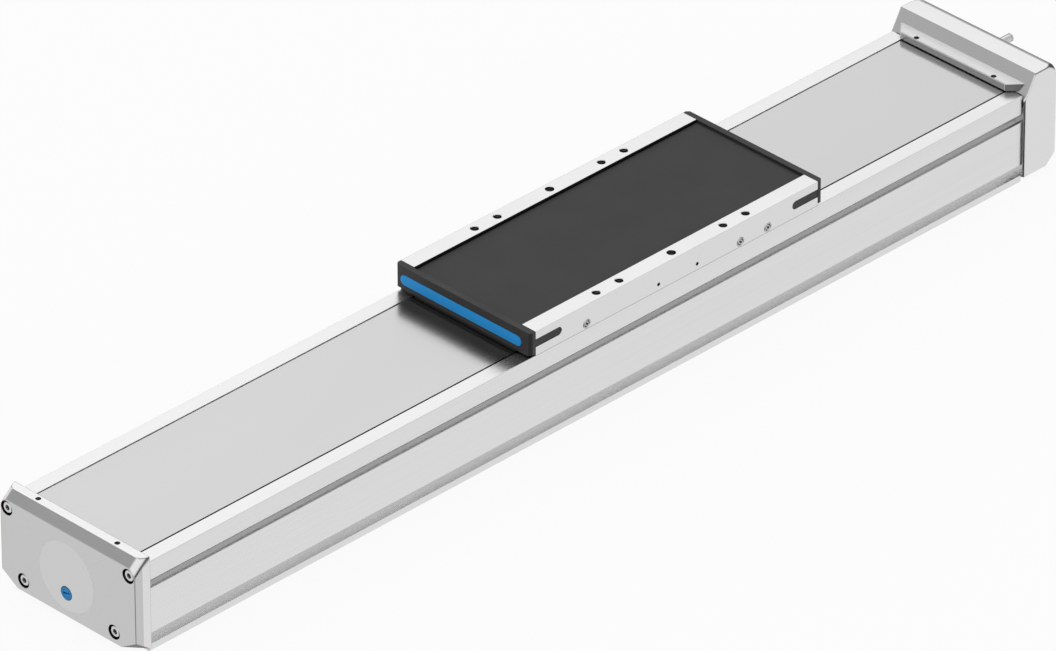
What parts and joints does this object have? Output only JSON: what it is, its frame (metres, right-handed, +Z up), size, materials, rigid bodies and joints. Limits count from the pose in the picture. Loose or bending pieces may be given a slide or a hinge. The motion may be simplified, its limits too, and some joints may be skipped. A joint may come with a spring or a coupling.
{
  "type": "ball screw linear axis",
  "caption": "Electric linear axis: a ball screw in a closed extruded profile drives a rail-guided slide with a flat load face, sealed by a steel cover band.",
  "frame": {"origin": "middle of the extruded profile's underside", "axes": "+X along the axis from the near end cap to the drive housing, +Z up from the base to the slide's load face, +Y to the left seen from the near end cap"},
  "size_m": [1.1217, 0.161, 0.112],
  "materials": {
    "anodised_profile": "satin anodised, fine lines along the axis",
    "anodised_ends": "satin anodised, fine grain",
    "bracket_aluminium": "milled",
    "band_steel": "ground strip",
    "bearing_steel": "ground",
    "screw_steel": "zinc plated",
    "black_screw_steel": "blackened",
    "black_plastic": "fine grain",
    "shoe_plastic": "smooth",
    "blue_plastic": "satin",
    "black_rubber": "matte"
  },
  "bodies": {
    "frame": {"air_fitting": "screw_steel", "band_clamp_bar": "anodised_ends", "bearing_retainer": "bearing_steel", "cover_band": "band_steel", "cover_disc": "anodised_ends", "drive_housing": "anodised_ends", "far_band_grub_screws": "black_screw_steel", "far_end_stops": "black_rubber", "fixed_bearing_ball_cage": "bearing_steel", "fixed_bearing_outer_ring": "bearing_steel", "floating_bearing_ball_cage": "bearing_steel", "floating_bearing_outer_ring": "bearing_steel", "guide_rail_left": "bearing_steel", "guide_rail_right": "bearing_steel", "housing_screws": "screw_steel", "magnet_strip_left": "bearing_steel", "magnet_strip_right": "bearing_steel", "near_band_grub_screws": "black_screw_steel", "near_cap_screws": "screw_steel", "near_end_cap": "anodised_ends", "near_end_stops": "black_rubber", "profile": "anodised_profile", "rail_screws": "screw_steel", "relief_plug": "blue_plastic"},
    "slide": {"slide_body": "anodised_ends", "slide_cover": "black_plastic", "slide_cap_near": "black_plastic", "slide_cap_far": "black_plastic", "blue_insert_near": "blue_plastic", "blue_insert_far": "blue_plastic", "band_wiper_near": "black_rubber", "band_wiper_far": "black_rubber", "band_shoe_near": "shoe_plastic", "band_shoe_far": "shoe_plastic", "band_shoe_screws": "screw_steel", "lube_nipples": "screw_steel", "guide_block_left_near": "bearing_steel", "guide_block_left_far": "bearing_steel", "guide_block_right_near": "bearing_steel", "guide_block_right_far": "bearing_steel", "block_end_seals": "black_plastic", "block_screws": "screw_steel", "nut_bracket": "bracket_aluminium", "bracket_screws": "screw_steel", "ball_nut": "bearing_steel", "nut_screws": "screw_steel"},
    "screw": {"ball_screw": "bearing_steel", "lock_nut": "bearing_steel", "fixed_bearing_inner_ring": "bearing_steel", "floating_bearing_inner_ring": "bearing_steel"}
  },
  "joints": [
    {"name": "slide_travel", "type": "slide", "parent": "frame", "child": "slide", "axis": [1, 0, 0], "range_m": [-0.4, 0.2], "deforming": ["cover_band"]},
    {"name": "screw_spin", "type": "hinge", "parent": "frame", "child": "screw", "pos_m": [0, 0, 0.044], "axis": [1, 0, 0], "range_deg": [-3602, 7202]}
  ],
  "couplings": [
    {"joint": "screw_spin", "follows": "slide_travel", "rad_per_m": -314.16}
  ]
}
